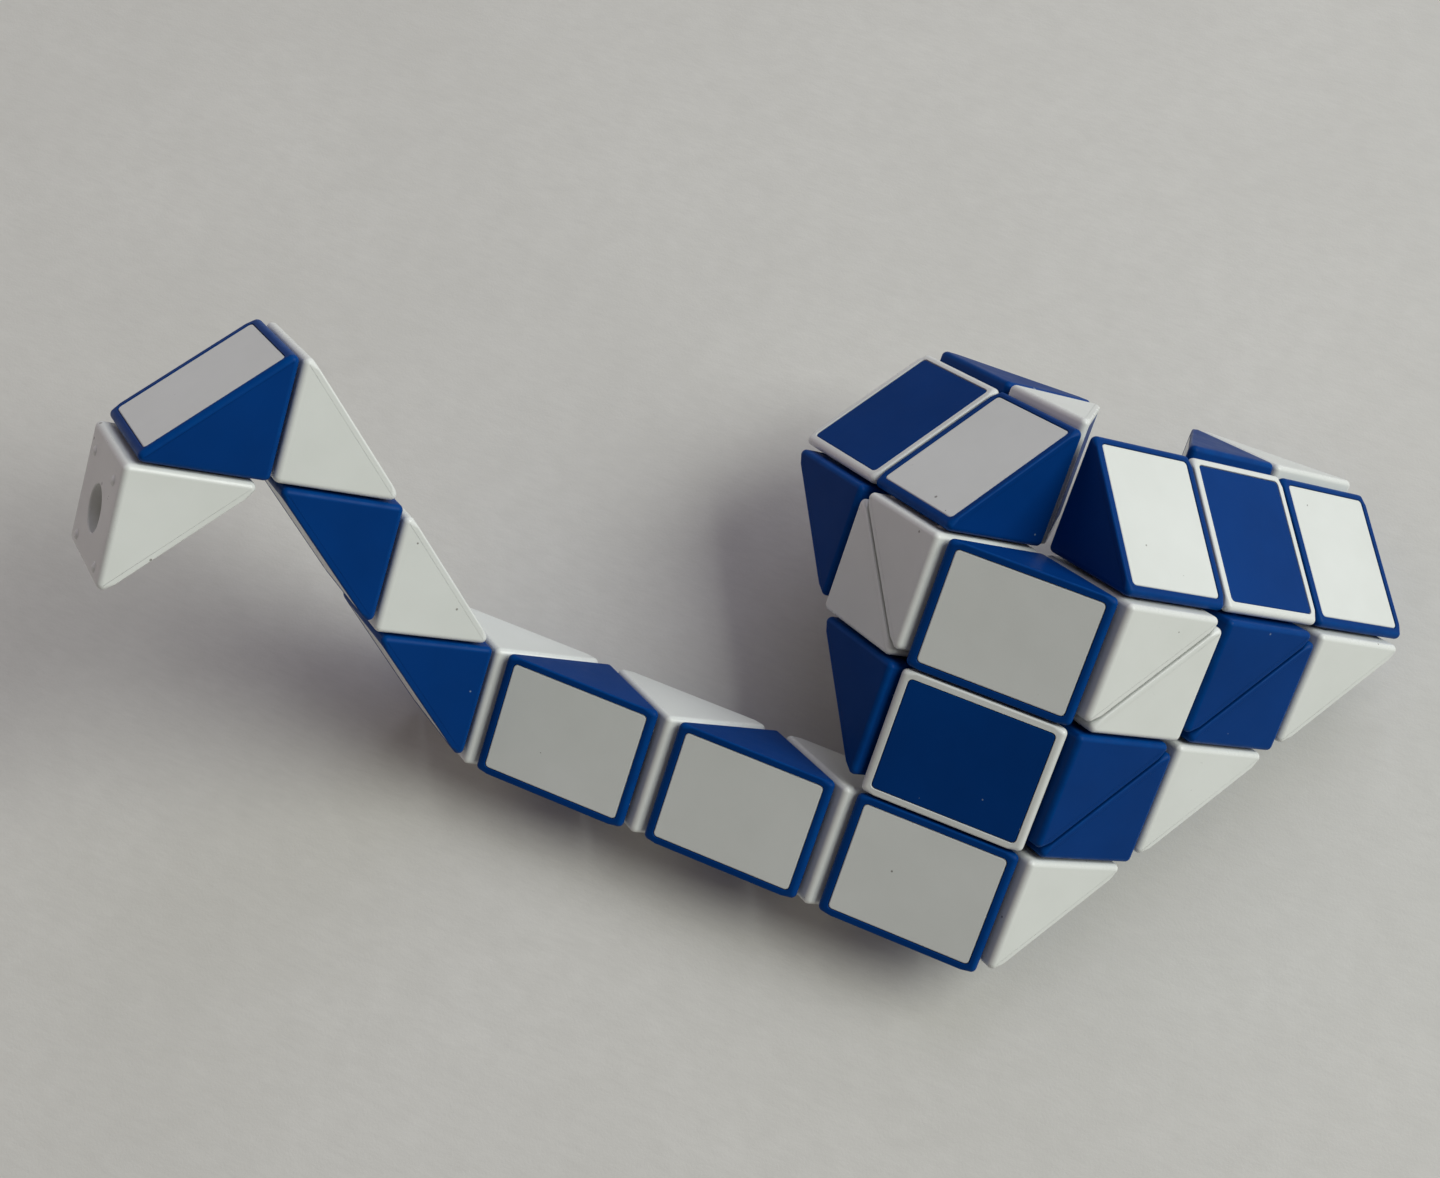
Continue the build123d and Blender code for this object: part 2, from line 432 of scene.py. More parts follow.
(mouth_ring,) = open_face(shell, flat_face(shell, SLOPE_WAY), pocket_rings)
mouth_scale = POCKET_LENGTH / (POCKET_LENGTH + 2 * EDGE_BREAK)
ledge_ring = draw_ring(
    shell, mouth_ring, SLOPE_WAY, [(mouth_scale, -EDGE_BREAK), (1, EDGE_BREAK + CLEARANCE - LEDGE_DEPTH)]
)
hollow_ring = panel_ring(shell, HOLLOW_LENGTH, HOLLOW_WIDTH, 0, LEDGE_DEPTH)
bmesh.ops.triangle_fill(shell, use_beauty=True, edges=ledge_ring + hollow_ring, normal=SLOPE_WAY)
made = bmesh.ops.extrude_edge_only(shell, edges=hollow_ring)["geom"]
keel = [item for item in made if isinstance(item, bmesh.types.BMVert)]
to_keel = slope_frame @ Matrix.Translation((0, 0, -hollow_depth))
bmesh.ops.translate(shell, vec=SLOPE_WAY * (LEDGE_DEPTH - hollow_depth), verts=keel)
bmesh.ops.scale(shell, vec=(0, 1, 1), space=to_keel.inverted(), verts=keel)
bmesh.ops.remove_doubles(shell, verts=keel, dist=0.01)
bmesh.ops.recalc_face_normals(shell, faces=shell.faces)
print(f"pocket {POCKET_LENGTH:.2f} x {POCKET_WIDTH:.2f} mm, hollow {HOLLOW_LENGTH / 2:.2f} mm deep below")

# %% [markdown]
# ## Inside the hollow
# Behind the socket the inner wall has the bolt's hole. Behind the post stands a short boss that the bolt's
# thread ends in. Both inner walls are flat, so they are opened like the outer ones, and the rings left
# open by the socket and the pilot hole are joined to them. The shell is then one closed skin.

# %% Join the bolt hole and the pilot hole to the hollow
BOSS_R = 2.6
BOSS_TIP_R = 1.8


def inner_wall(way, plane_point):
    """The hollow's wall that looks this way and lies in the plane through this point."""
    walls = [
        face for face in shell.faces
        if abs(face.normal.dot(way)) > STRAIGHT
        and abs((face.calc_center_median() - plane_point).dot(way)) < 0.01
        and face.calc_area() > PITCH
    ]
    return max(walls, key=lambda face: face.calc_area())


open_face(shell, inner_wall(ENTRY_WAY, hollow_corner), lambda: [bolt_hole_ring])
boss_foot = Vector((hollow_corner.x, 0, HALF))


def boss_rings():
    return [ring_of(shell, boss_foot, EXIT_WAY, BOSS_R, ROUND_SIDES)]


(boss_ring,) = open_face(shell, inner_wall(EXIT_WAY, hollow_corner), boss_rings)
boss_height = SLEEVE_DEPTH - BOSS_DEPTH
boss_end = turned(shell, boss_ring, EXIT_WAY, (BOSS_R, 0), [(BOSS_R, boss_height), (BOSS_TIP_R, boss_height)])
bmesh.ops.bridge_loops(shell, edges=boss_end + pilot_ring)
bmesh.ops.recalc_face_normals(shell, faces=shell.faces)
print_closed("shell", shell)

# %% [markdown]
# ### Crisp outlines along the sloping side
# The mould parts along the sloping side, so its two long outlines come out much sharper than the other
# edges, and only the tips keep the full rounding. Two cuts near the tips give the rounded band vertices of
# its own there. On each placed wedge they are drawn towards the corner line, except where that outline lies
# level at the very top, bottom or side of the folded figure, which would grow by it.

# %% Cut the long outlines near the tips
CRISP_ROUND = 0.28
CRISP_INSET = 1.1  # from the start of each tip's rounding to the crisp part
NEARLY = 0.02


def up_slope(spot):
    return (spot - SLOPE_MIDDLE).dot(UP_SLOPE)


tip_ends = [up_slope(axis) for axis in thin_axes]
crisp_ends = [min(tip_ends) + CRISP_INSET, max(tip_ends) - CRISP_INSET]


def under_slope(vert):
    return -CLEARANCE - (vert.co - SLOPE_MIDDLE).dot(SLOPE_WAY)


def under_end(vert):
    return HALF - CLEARANCE - abs(vert.co.y)


def in_long_rounding(vert):
    return all(-NEARLY < depth < EDGE_ROUND + NEARLY for depth in (under_slope(vert), under_end(vert)))


for end in crisp_ends:
    band = [face for face in shell.faces if all(in_long_rounding(vert) for vert in face.verts)]
    band_edges = list({edge for face in band for edge in face.edges})
    band_verts = list({vert for face in band for vert in face.verts})
    bmesh.ops.bisect_plane(
        shell, geom=band_verts + band_edges + band, dist=0.001,
        plane_co=SLOPE_MIDDLE + UP_SLOPE * end, plane_no=UP_SLOPE,
    )
print_closed("shell with its cuts", shell)

# %% Sharpen a placed wedge's outlines
BOX_ROOM = 0.000005  # in metres


def crisper(depth):
    """Moves a depth on the wide arc onto the narrow one, by the same angle."""
    turn = math.acos(max(-1.0, min(1.0, 1 - depth / EDGE_ROUND)))
    return CRISP_ROUND * (1 - math.cos(turn))


def at_crisp_end(vert):
    return min(abs(up_slope(vert.co) - end) for end in crisp_ends) < NEARLY


def in_figure(spot):
    lows, highs = cad_box
    return all(low - BOX_ROOM <= value <= high + BOX_ROOM for low, value, high in zip(lows, spot, highs))


def crisp_shell(number):
    """The shell with its long outlines sharpened where the figure's box has room, and how many were."""
    copy = shell.copy()
    crisp_sides = 0
    for side in (-1, 1):
        moves = {}
        for vert in copy.verts:
            if vert.co.y * side > 0 and in_long_rounding(vert) and at_crisp_end(vert):
                slope_depth, end_depth = under_slope(vert), under_end(vert)
                moves[vert] = (
                    vert.co + SLOPE_WAY * (slope_depth - crisper(slope_depth))
                    + Vector((0, side, 0)) * (end_depth - crisper(end_depth))
                )
        if all(in_figure(places[number] @ spot) for spot in moves.values()):
            crisp_sides += 1
            for vert, spot in moves.items():
                vert.co = spot
    return copy, crisp_sides


# %% [markdown]
# ## The lid
# The lid is a flat moulded panel that drops into the pocket and sits almost flush, with an even dark line
# all round it. It needs crisp edges: in soft light the hairline of brightness along them tells the eye that
# it is a separate part. Two lugs under it press against the shell's end walls and hold it by friction.

# %% Mould the lid
LID_EDGE = 0.2
LID_SEAM = 0.06  # the even gap that shows round the lid
LUG_LENGTH, LUG_T, LUG_H, LUG_TAPER = 5.0, 0.8, 1.2, 0.15
LID_TOP = CLEARANCE + LID_SUNK
LUG_OFFSET = HALF - CLEARANCE - WALL - LID_GAP - LUG_T / 2

lid = bmesh.new()
panel = rounded_panel(lid, POCKET_LENGTH - 2 * LID_SEAM, POCKET_WIDTH - 2 * LID_SEAM, LID_CORNER_R, LID_TOP)
made = bmesh.ops.extrude_face_region(lid, geom=[panel], use_keep_orig=True)["geom"]
underside = [item for item in made if isinstance(item, bmesh.types.BMVert)]
bmesh.ops.translate(lid, vec=-SLOPE_WAY * LID_T, verts=underside)
bmesh.ops.recalc_face_normals(lid, faces=lid.faces)
top_outline = flat_face(lid, SLOPE_WAY).edges[:]
round_edges(lid, top_outline, LID_EDGE, 3)


def lug_rings():
    return [panel_ring(lid, LUG_LENGTH, LUG_T, 0, LID_TOP + LID_T, side * LUG_OFFSET) for side in (-1, 1)]


for ring in open_face(lid, flat_face(lid, -SLOPE_WAY), lug_rings):
    close_ring(lid, draw_ring(lid, ring, -SLOPE_WAY, [(1, LUG_H - LUG_TAPER), (0.9, LUG_TAPER)]))
bmesh.ops.recalc_face_normals(lid, faces=lid.faces)
print_closed("lid", lid)

# %% [markdown]
# ## The bolt and its spring
# A small self-tapping bolt holds each joint together. Its head sits in the next wedge's hollow and presses
# a coil spring on the socket's floor, which keeps the faces snug while they turn. The bolt is turned from
# one ring along its profile, with fine ridges for the thread, and its head gets a cross-shaped recess.

# %% Turn the bolt
BOLT_R = 1.0
BOLT_REACH = 4.0
HEAD_FOOT = 4.25
HEAD_R = 1.85
HEAD_T = 0.8
HEAD_CHAMFER_DOWN, HEAD_CHAMFER_IN = 0.25, 0.3
TIP_R = 0.6
TIP_H = 0.3
THREAD_RIDGES = 6
THREAD_PITCH = 0.5
THREAD_DEPTH = 0.14
PLAIN_FROM = -0.4  # the shank is plain from here to the head
BOLT_SIDES = 20
ALONG_BOLT = Vector((0, 0, 1))

bolt = bmesh.new()
tip = ring_of(bolt, -ALONG_BOLT * BOLT_REACH, ALONG_BOLT, TIP_R, BOLT_SIDES)
bmesh.ops.edgeloop_fill(bolt, edges=tip)
profile = []
for ridge in range(THREAD_RIDGES):
    foot = TIP_H - BOLT_REACH + ridge * THREAD_PITCH
    profile += [
        (BOLT_R - THREAD_DEPTH, foot), (BOLT_R, foot + THREAD_PITCH * 0.45),
        (BOLT_R, foot + THREAD_PITCH * 0.55),
    ]
profile += [
    (BOLT_R - THREAD_DEPTH, foot + THREAD_PITCH), (BOLT_R, PLAIN_FROM), (BOLT_R, HEAD_FOOT),
    (HEAD_R, HEAD_FOOT),
    (HEAD_R, HEAD_FOOT + HEAD_T - HEAD_CHAMFER_DOWN), (HEAD_R - HEAD_CHAMFER_IN, HEAD_FOOT + HEAD_T),
]
head_ring = turned(bolt, tip, ALONG_BOLT, (TIP_R, -BOLT_REACH), profile)

# %% Sink the cross in the bolt's head
DRIVE_L, DRIVE_W, DRIVE_DEPTH = 2.0, 0.5, 0.45


def cross_ring(mesh, centre):
    """The outline of a cross, from a grid of nine cells with its corners away."""
    arm = Matrix.Translation(centre) @ Matrix.Scale(DRIVE_L, 4)
    made = bmesh.ops.create_grid(mesh, x_segments=3, y_segments=3, size=0.5, matrix=arm)
    for vert in made["verts"]:
        for axis in (0, 1):
            if abs(vert.co[axis]) < DRIVE_L / 3:
                vert.co[axis] = math.copysign(DRIVE_W / 2, vert.co[axis])
    cells = {face for vert in made["verts"] for face in vert.link_faces}
    corners = [cell for cell in cells if min(abs(value) for value in cell.calc_center_median()[:2]) > DRIVE_W]
    bmesh.ops.delete(mesh, geom=corners, context="FACES")
    cells = [cell for cell in cells if cell.is_valid]
    ring = [edge for cell in cells for edge in cell.edges if len(edge.link_faces) == 1]
    inner = [edge for cell in cells for edge in cell.edges if len(edge.link_faces) == 2]
    bmesh.ops.delete(mesh, geom=cells, context="FACES_ONLY")
    bmesh.ops.delete(mesh, geom=list(set(inner)), context="EDGES")
    return ring


head_top = Vector((0, 0, HEAD_FOOT + HEAD_T))
recess = cross_ring(bolt, head_top)
bmesh.ops.triangle_fill(bolt, use_beauty=True, edges=head_ring + recess, normal=ALONG_BOLT)
close_ring(bolt, draw_ring(bolt, recess, ALONG_BOLT, [(0.8, -DRIVE_DEPTH)]))
bmesh.ops.recalc_face_normals(bolt, faces=bolt.faces)
print_closed("bolt", bolt)

# %% [markdown]
# ### The coil spring
# A spring is a round wire swept round an axis while it climbs. The spin operator does both at once when it
# is given a small rise for every step, and its two cut ends are closed afterwards.

# %% Wind the spring
SPRING_R = 1.6
WIRE_R = 0.17
WIRE_SIDES = 8
SPRING_TURNS = 3
STEPS_PER_TURN = 18
SPRING_GAP = 0.03

low = SLEEVE_DEPTH + SPRING_GAP + WIRE_R
high = HEAD_FOOT - SPRING_GAP - WIRE_R
steps = SPRING_TURNS * STEPS_PER_TURN
spring = bmesh.new()
wire_end = ring_of(spring, Vector((SPRING_R, 0, low)), END_WAYS[0], WIRE_R, WIRE_SIDES)
made = bmesh.ops.spin(
    spring, geom=wire_end, cent=(0, 0, 0), axis=(0, 0, 1), dvec=(0, 0, (high - low) / steps),
    angle=math.radians(360 * SPRING_TURNS), steps=steps, use_merge=False, use_duplicate=False,
)
last_end = [item for item in made["geom_last"] if isinstance(item, bmesh.types.BMEdge)]
for end in (wire_end, last_end):
    bmesh.ops.edgeloop_fill(spring, edges=end)
bmesh.ops.recalc_face_normals(spring, faces=spring.faces)
print_closed("spring", spring)

# %% [markdown]
# ## What every moulded part shares
# Before the finishes, the rounded edges are marked in the meshes. Fingers polish a plastic edge long before
# they touch the flats, and the rounded edges also get a paler colour as a painted highlight, so the materials
# need to know where the rounding is. A value on each vertex says it: 1 where every face around it is curved,
# 0 on the flats, with a smooth run between.

# %% Mark the rounded edges
DEAD_FLAT = 0.9995  # as a cosine
FLAT_WAYS = (SLOPE_WAY, -SLOPE_WAY, ENTRY_WAY, -ENTRY_WAY, EXIT_WAY, -EXIT_WAY) + END_WAYS


def mark_rounding(mesh):
    layer = mesh.verts.layers.float.new("rounding")
    marked = 0
    for vert in mesh.verts:
        flat = any(face.normal.dot(way) > DEAD_FLAT for face in vert.link_faces for way in FLAT_WAYS)
        vert[layer] = 0.0 if flat else 1.0
        marked += not flat
    return marked


print("rounded vertices:", mark_rounding(shell), "on the shell,", mark_rounding(lid), "on the lid")

# %% [markdown]
# ## Surface effects as node groups
# White and blue wedges come out of the same moulds, so they share the same skin: slow clouding from the
# flow of the plastic, a fine satin grain, edges polished by fingers and paled by a painted highlight, and a few
# specks of dust. Each effect is a node group, built once, that gives only values and masks. The two plastics use
# them with their own numbers, and the steel borrows the grain.

# %% A small helper to write node groups
def new_group(name, inputs, outputs):
    """An empty group with named float or vector sockets. Returns it with its input and output nodes."""
    group = bpy.data.node_groups.new(name, "ShaderNodeTree")
    for label, kind, value in inputs:
        socket = group.interface.new_socket(label, in_out="INPUT", socket_type=kind)
        if value is not None:
            socket.default_value = value
    for label in outputs:
        group.interface.new_socket(label, in_out="OUTPUT", socket_type="NodeSocketFloat")
    return group, group.nodes.new("NodeGroupInput"), group.nodes.new("NodeGroupOutput")


def noise(tree, vector, scale, detail, roughness):
    """A noise texture, its scale in repeats to the metre."""
    node = tree.nodes.new("ShaderNodeTexNoise")
    node.inputs["Detail"].default_value = detail
    node.inputs["Roughness"].default_value = roughness
    tree.links.new(vector, node.inputs["Vector"])
    if isinstance(scale, bpy.types.NodeSocket):
        tree.links.new(scale, node.inputs["Scale"])
    else:
        node.inputs["Scale"].default_value = scale
    return node.outputs["Fac"]


def remap(tree, value, low, high, to_low=0.0, to_high=1.0):
    """Stretches a value's range from low..high to to_low..to_high, clamped."""
    node = tree.nodes.new("ShaderNodeMapRange")
    tree.links.new(value, node.inputs["Value"])
    for label, number in (("From Min", low), ("From Max", high), ("To Min", to_low), ("To Max", to_high)):
        node.inputs[label].default_value = number
    return node.outputs["Result"]


def combine(tree, operation, first, second):
    """One Math node on two values, each a socket or a number."""
    node = tree.nodes.new("ShaderNodeMath")
    node.operation = operation
    for socket, value in zip(node.inputs, (first, second)):
        if isinstance(value, bpy.types.NodeSocket):
            tree.links.new(value, socket)
        else:
            socket.default_value = value
    return node.outputs[0]


def print_outputs(group):
    sockets = group.interface.items_tree
    print(group.name, "gives", [socket.name for socket in sockets if socket.in_out == "OUTPUT"])


# %% The moulded skin: clouding, satin grain and slow sink
VECTOR, FLOAT = "NodeSocketVector", "NodeSocketFloat"

moulded_skin, skin_in, skin_out = new_group(
    "Moulded skin",
    [("Coordinates", VECTOR, None), ("Grain scale", FLOAT, 5200.0)],
    ["Clouding", "Grain", "Sink"],
)
skin_spot, grain_scale = skin_in.outputs["Coordinates"], skin_in.outputs["Grain scale"]
clouding = noise(moulded_skin, skin_spot, scale=85.0, detail=3.0, roughness=0.55)
fine_grain = noise(moulded_skin, skin_spot, scale=grain_scale, detail=2.0, roughness=0.6)
slow_sink = noise(moulded_skin, skin_spot, scale=140.0, detail=1.0, roughness=0.4)
moulded_skin.links.new(remap(moulded_skin, clouding, 0.3, 0.7), skin_out.inputs["Clouding"])
moulded_skin.links.new(fine_grain, skin_out.inputs["Grain"])
moulded_skin.links.new(slow_sink, skin_out.inputs["Sink"])
print_outputs(moulded_skin)

# %% Edges polished by fingers, and the mask for their painted highlight
edge_rub_and_sheen, edge_in, edge_out = new_group(
    "Polished edge",
    [("Coordinates", VECTOR, None), ("Rounding", FLOAT, 0.0), ("Amount", FLOAT, 0.5)],
    ["Polish"],
)
# One mask for the rounded edges: it makes them less rough, as wear does, and it paints them paler, as a painted
# highlight.
rub_and_sheen = noise(edge_rub_and_sheen, edge_in.outputs["Coordinates"], scale=420.0, detail=4.0, roughness=0.6)
rub_and_sheen = remap(edge_rub_and_sheen, rub_and_sheen, 0.35, 0.65, 0.35, 1.0)
rub_and_sheen = combine(edge_rub_and_sheen, "MULTIPLY", rub_and_sheen, edge_in.outputs["Rounding"])
rub_and_sheen = combine(edge_rub_and_sheen, "MULTIPLY", rub_and_sheen, edge_in.outputs["Amount"])
edge_rub_and_sheen.links.new(rub_and_sheen, edge_out.inputs["Polish"])
print_outputs(edge_rub_and_sheen)

# %% Dust, specks and hairline scratches
handled_surface, handled_in, handled_out = new_group(
    "Handled surface",
    [("Coordinates", VECTOR, None), ("Speck size", FLOAT, 0.12)],
    ["Specks", "Smudge", "Hairlines"],
)
cells = handled_surface.nodes.new("ShaderNodeTexVoronoi")
cells.inputs["Scale"].default_value = 520.0
handled_surface.links.new(handled_in.outputs["Coordinates"], cells.inputs["Vector"])
tone = handled_surface.nodes.new("ShaderNodeSeparateColor")
handled_surface.links.new(cells.outputs["Color"], tone.inputs["Color"])
chosen = combine(handled_surface, "GREATER_THAN", tone.outputs["Red"], 0.9)
speck_edge = combine(handled_surface, "MULTIPLY", tone.outputs["Green"], handled_in.outputs["Speck size"])
near = combine(handled_surface, "LESS_THAN", cells.outputs["Distance"], speck_edge)
handled_surface.links.new(combine(handled_surface, "MULTIPLY", chosen, near), handled_out.inputs["Specks"])
smudge = noise(handled_surface, handled_in.outputs["Coordinates"], scale=190.0, detail=5.0, roughness=0.65)
handled_surface.links.new(remap(handled_surface, smudge, 0.42, 0.68), handled_out.inputs["Smudge"])
stretch = handled_surface.nodes.new("ShaderNodeMapping")
stretch.inputs["Rotation"].default_value = (0.5, 0.3, 0.8)
stretch.inputs["Scale"].default_value = (60.0, 2400.0, 900.0)
handled_surface.links.new(handled_in.outputs["Coordinates"], stretch.inputs["Vector"])
hair = noise(handled_surface, stretch.outputs["Vector"], scale=1.0, detail=2.0, roughness=0.5)
handled_surface.links.new(remap(handled_surface, hair, 0.68, 0.74), handled_out.inputs["Hairlines"])
print_outputs(handled_surface)

# %% [markdown]
# ## The two plastics
# Both are ABS with a satin face. The colour is hardly varied, as on the real thing, but the clouding, the
# specks and the polished edges keep a large flat face from looking like paint in a computer; the edges' paler
# colour is a painted highlight as well as wear. Roughness and bump carry most of the finish: a satin face
# spreads the light, and an edge rubbed smooth catches it.

# %% Mix a plastic
def place_group(tree, group, coordinates, **values):
    """One use of a node group, with values for its named inputs."""
    node = tree.nodes.new("ShaderNodeGroup")
    node.node_tree = group
    tree.links.new(coordinates, node.inputs["Coordinates"])
    for label, value in values.items():
        node.inputs[label.replace("_", " ")].default_value = value
    return node


def mix_colour(tree, factor, first, second):
    """Mixes two colours, each a socket or red, green and blue, by a factor from 0 to 1."""
    node = tree.nodes.new("ShaderNodeMix")
    node.data_type = "RGBA"
    tree.links.new(factor, node.inputs["Factor"])
    for socket, colour in zip((node.inputs[6], node.inputs[7]), (first, second)):
        if isinstance(colour, bpy.types.NodeSocket):
            tree.links.new(colour, socket)
        else:
            socket.default_value = (*colour, 1.0)
    return node.outputs[2]


def bump(tree, height, distance, strength, over=None):
    """Raises the surface by a value, over another bump's normal if there is one. Distance is in metres."""
    node = tree.nodes.new("ShaderNodeBump")
    node.inputs["Distance"].default_value = distance
    node.inputs["Strength"].default_value = strength
    tree.links.new(height, node.inputs["Height"])
    if over is not None:
        tree.links.new(over, node.inputs["Normal"])
    return node.outputs["Normal"]


def new_material(name):
    material = bpy.data.materials.new(name)
    material.use_nodes = True
    tree = material.node_tree
    shader = tree.nodes["Principled BSDF"]
    coordinates = tree.nodes.new("ShaderNodeTexCoord").outputs["Object"]
    return material, tree, shader, coordinates


WEAR_AND_SHEEN_TINT, SPECK_TINT = 0.6, 0.75  # how far the painted highlight on worn edges and the specks change the colour
POLISH_GLOSS, HAIRLINE_GLOSS = 0.16, 0.06  # and how much roughness polish and hairlines take away


def satin_plastic(name, colour, cloud_colour, speck_colour, wear_and_sheen_colour, roughness, specular):
    material, tree, shader, coordinates = new_material(name)
    skin = place_group(tree, moulded_skin, coordinates)
    handled = place_group(tree, handled_surface, coordinates)
    edge = place_group(tree, edge_rub_and_sheen, coordinates, Amount=0.8)
    rounding = tree.nodes.new("ShaderNodeAttribute")
    rounding.attribute_name = "rounding"
    tree.links.new(rounding.outputs["Fac"], edge.inputs["Rounding"])

    base = mix_colour(tree, skin.outputs["Clouding"], colour, cloud_colour)
    # The rounded edges are mixed towards a paler colour: partly wear, partly a painted highlight.
    wear_and_sheen_mix = combine(tree, "MULTIPLY", edge.outputs["Polish"], WEAR_AND_SHEEN_TINT)
    base = mix_colour(tree, wear_and_sheen_mix, base, wear_and_sheen_colour)
    specks = combine(tree, "MULTIPLY", handled.outputs["Specks"], SPECK_TINT)
    base = mix_colour(tree, specks, base, speck_colour)
    tree.links.new(base, shader.inputs["Base Color"])

    gloss = remap(tree, handled.outputs["Smudge"], 0.0, 1.0, roughness + 0.03, roughness - 0.05)
    worn = combine(tree, "MULTIPLY", edge.outputs["Polish"], POLISH_GLOSS)
    scratched = combine(tree, "MULTIPLY", handled.outputs["Hairlines"], HAIRLINE_GLOSS)
    gloss = combine(tree, "SUBTRACT", combine(tree, "SUBTRACT", gloss, worn), scratched)
    tree.links.new(gloss, shader.inputs["Roughness"])

    satin = bump(tree, skin.outputs["Grain"], distance=0.00002, strength=0.35)
    waves = bump(tree, skin.outputs["Sink"], distance=0.00012, strength=0.5, over=satin)
    tree.links.new(waves, shader.inputs["Normal"])
    shader.inputs["IOR"].default_value = 1.5
    shader.inputs["Specular IOR Level"].default_value = specular
    return material


# %% White and blue
# Each plastic's edge colour is paler than its body: a painted highlight on the rounded edges, with some wear.
white_abs = satin_plastic(
    "white_abs", colour=(0.81, 0.83, 0.80), cloud_colour=(0.77, 0.79, 0.755), speck_colour=(0.16, 0.14, 0.12),
    wear_and_sheen_colour=(0.88, 0.89, 0.87), roughness=0.36, specular=0.5,
)
blue_abs = satin_plastic(
    "blue_abs", colour=(0.0, 0.042, 0.215), cloud_colour=(0.0, 0.036, 0.185), speck_colour=(0.25, 0.30, 0.38),
    wear_and_sheen_colour=(0.0, 0.07, 0.30), roughness=0.46, specular=0.07,
)
print("plastics:", white_abs.name, "and", blue_abs.name)

# %% [markdown]
# ## Steel for the bolts and springs
# The hardware is plain zinc-bright steel. It is hidden while the lids are in, but it is made like the rest:
# a grey metal, a little uneven in colour and roughness from the plating bath.

# %% Plated steel
plated_steel, tree, shader, coordinates = new_material("plated_steel")
skin = place_group(tree, moulded_skin, coordinates)
bright, dull = (0.58, 0.59, 0.60), (0.47, 0.48, 0.50)
tree.links.new(mix_colour(tree, skin.outputs["Clouding"], bright, dull), shader.inputs["Base Color"])
tree.links.new(remap(tree, skin.outputs["Grain"], 0.3, 0.7, 0.24, 0.38), shader.inputs["Roughness"])
shader.inputs["Metallic"].default_value = 1.0
print("hardware:", plated_steel.name)

# %% [markdown]
# ## Set thirty-six of everything in place
# Each piece is a copy of its mesh with the wedge's place worked into it, so every object sits at the origin
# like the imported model's own. Odd wedges have white shells and blue lids, and even ones the other way
# round. A bolt is screwed into the wedge before its joint and turns with it, and the spring stays with
# the wedge after.

# %% Copy a piece to its wedge
SHARP_ANGLE = math.radians(35)
packed_lids = {name for name in frame["nodes"] if name.startswith("lid_")}


def make_piece(name, template, number, material, body, node):
    """A copy of a template at a wedge's place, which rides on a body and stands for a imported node."""
    mesh = bpy.data.meshes.new(name)
    copy = template.copy()
    copy.transform(places[number])
    copy.to_mesh(mesh)
    copy.free()
    mesh.shade_smooth()
    mesh.set_sharp_from_angle(angle=SHARP_ANGLE)
    mesh.materials.append(material)
    piece = bpy.data.objects.new(name, mesh)
    bpy.context.scene.collection.objects.link(piece)
    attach(piece, body)
    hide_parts(node)
    return piece


def crisp_flats(piece):
    """Lets the large flat faces rule the shading beside their rounded edges."""
    weighted = piece.modifiers.new("Crisp flats", "WEIGHTED_NORMAL")
    weighted.mode = "FACE_AREA"
    weighted.keep_sharp = True
    weighted.weight = 50


# %% Shells and lids
pieces = []
crisp_outlines = 0
for number in range(1, WEDGES + 1):
    shell_plastic, lid_plastic = (white_abs, blue_abs) if number % 2 else (blue_abs, white_abs)
    body = wedge_name(number)
    own_shell, crisp_sides = crisp_shell(number)
    wedge_shell = make_piece(f"shell_{number:02d}", own_shell, number, shell_plastic, body, body)
    own_shell.free()
    crisp_outlines += crisp_sides
    lid_node = f"lid_{number:02d}"
    if lid_node not in packed_lids:
        lid_node = body
    cover = make_piece(f"cover_{number:02d}", lid, number, lid_plastic, body, lid_node)
    for piece in (wedge_shell, cover):
        crisp_flats(piece)
    pieces += [wedge_shell, cover]
print(len(pieces), "plastic pieces placed,", crisp_outlines, "crisp outlines")

# %% Bolts and springs
for number in range(2, WEDGES + 1):
    before, body = wedge_name(number - 1), wedge_name(number)
    pieces.append(make_piece(f"bolt_{number - 1:02d}", bolt, number, plated_steel, before, before))
    pieces.append(make_piece(f"spring_{number:02d}", spring, number, plated_steel, body, body))
triangles = sum(len(poly.vertices) - 2 for piece in pieces for poly in piece.data.polygons)
print(len(pieces), "pieces in all,", triangles, "triangles")

# %% [markdown]
# ## The table
# The toy stands on a pale table cover in a bright room. It has hardly any pattern, only a faint cloudiness,
# short fibres in one direction and a fine tooth, so that shadows stay the strongest thing on it. A wide disc
# reaches far enough for a view from any side.

# %% Lay the table
TABLE_R = 3.0

table_mesh = bmesh.new()
bmesh.ops.create_circle(table_mesh, cap_ends=True, segments=96, radius=TABLE_R)
table_data = bpy.data.meshes.new("table")
table_mesh.to_mesh(table_data)
table_mesh.free()
table = bpy.data.objects.new("table", table_data)
bpy.context.scene.collection.objects.link(table)

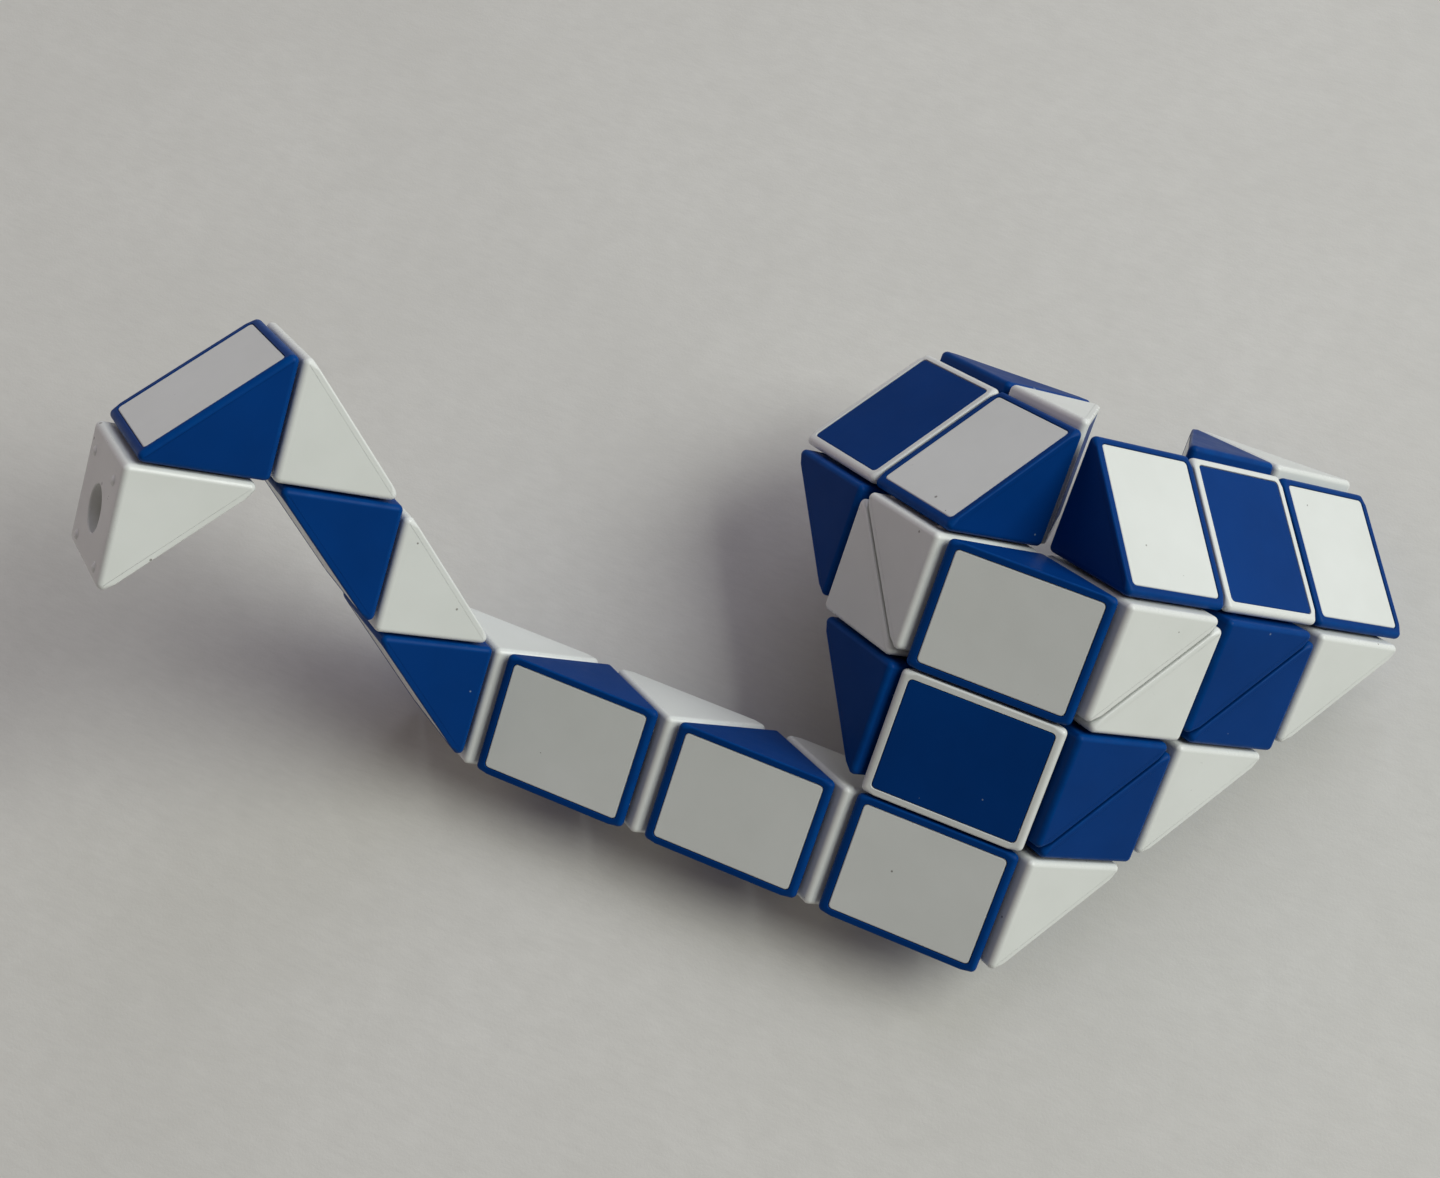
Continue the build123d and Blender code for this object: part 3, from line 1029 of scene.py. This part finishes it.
table_paint, tree, shader, coordinates = new_material("table_paint")
broad = remap(tree, noise(tree, coordinates, scale=22.0, detail=4.0, roughness=0.55), 0.35, 0.65)
mottle = remap(tree, noise(tree, coordinates, scale=210.0, detail=5.0, roughness=0.65), 0.35, 0.65)
fibre_way = tree.nodes.new("ShaderNodeMapping")
fibre_way.inputs["Rotation"].default_value = (0, 0, 0.42)
fibre_way.inputs["Scale"].default_value = (260.0, 1300.0, 260.0)
tree.links.new(coordinates, fibre_way.inputs["Vector"])
fibres = noise(tree, fibre_way.outputs["Vector"], scale=1.0, detail=3.0, roughness=0.6)
fibres = remap(tree, fibres, 0.4, 0.75)
light_tint, dull_tint = (0.755, 0.74, 0.70), (0.72, 0.705, 0.665)
mottle_tint, fibre_tint = (0.655, 0.64, 0.60), (0.63, 0.615, 0.58)
tint = mix_colour(tree, broad, light_tint, dull_tint)
tint = mix_colour(tree, combine(tree, "MULTIPLY", mottle, 0.35), tint, mottle_tint)
tint = mix_colour(tree, combine(tree, "MULTIPLY", fibres, 0.3), tint, fibre_tint)
tree.links.new(tint, shader.inputs["Base Color"])
shader.inputs["Roughness"].default_value = 0.62
tooth = noise(tree, coordinates, scale=2600.0, detail=3.0, roughness=0.6)
tree.links.new(bump(tree, tooth, distance=0.00006, strength=0.4), shader.inputs["Normal"])
table_data.materials.append(table_paint)
print("table:", TABLE_R * 2, "m across, at height 0")

# %% [markdown]
# ## Soft light
# Soft shadows need large lights. One broad panel on the right is the window. A weaker bluish one is the sky
# behind it, a low warm one is the light that a wall sends back from the left, and the rest of the room is a
# dim even grey around everything.

# %% Hang the lights
PANEL_SIZE = 1.7
LOW_PANEL_HEIGHT = 0.9  # stays clear of the table
PANEL_DISTANCE = 2.4


def soft_panel(name, azimuth, elevation, height, power, tint):
    """A panel that looks at the middle of the toy, its azimuth counted from +X towards +Y."""
    data = bpy.data.lights.new(name, "AREA")
    data.shape = "RECTANGLE"
    data.size = PANEL_SIZE
    data.size_y = height
    data.energy = power
    data.color = tint
    lamp = bpy.data.objects.new(name, data)
    level = math.cos(math.radians(elevation))
    way = Vector((
        level * math.cos(math.radians(azimuth)), level * math.sin(math.radians(azimuth)),
        math.sin(math.radians(elevation)),
    ))
    lamp.location = Vector((0, 0, 0.03)) + way * PANEL_DISTANCE
    lamp.rotation_euler = way.to_track_quat("Z", "Y").to_euler()
    bpy.context.scene.collection.objects.link(lamp)
    return lamp


soft_panel("window", azimuth=25, elevation=40, height=PANEL_SIZE, power=47.0, tint=(0.96, 1.0, 0.95))
soft_panel("sky", azimuth=90, elevation=40, height=PANEL_SIZE, power=10.5, tint=(0.76, 0.78, 1.0))
soft_panel("wall", azimuth=180, elevation=15, height=LOW_PANEL_HEIGHT, power=5.3, tint=(1.0, 0.77, 0.9))

room = bpy.data.worlds.new("room")
room.use_nodes = True
background = room.node_tree.nodes["Background"]
background.inputs["Color"].default_value = (1.0, 0.92, 0.88, 1.0)
background.inputs["Strength"].default_value = 0.13
bpy.context.scene.world = room
bpy.context.scene.view_settings.view_transform = "Standard"

# %% [markdown]
# ## The camera
# The toy is seen from above and in front, from a little over a quarter of a metre, with the camera tipped a
# little to the left. The camera's own axes are written down as directions, which says more plainly than three
# angles where it looks.

# %% Stand the camera
CAMERA_SPOT = (0.03867, -0.09007, 0.25038)

camera_data = bpy.data.cameras.new("camera")
camera_data.sensor_width = 36.0
camera_data.lens = 45.5
camera_data.clip_start = 0.01
camera = bpy.data.objects.new("camera", camera_data)
camera_right = Vector((0.9185, 0.3935, -0.0392)).normalized()
camera_forward = Vector((-0.18259, 0.33392, -0.92475)).normalized()
camera_up = camera_right.cross(camera_forward).normalized()
camera_right = camera_forward.cross(camera_up)
turn = Matrix((camera_right, camera_up, -camera_forward)).transposed()
camera.matrix_world = Matrix.Translation(CAMERA_SPOT) @ turn.to_4x4()
bpy.context.scene.collection.objects.link(camera)
bpy.context.scene.camera = camera
print("camera at", [round(v, 3) for v in camera.location], "m, lens", camera_data.lens, "mm")
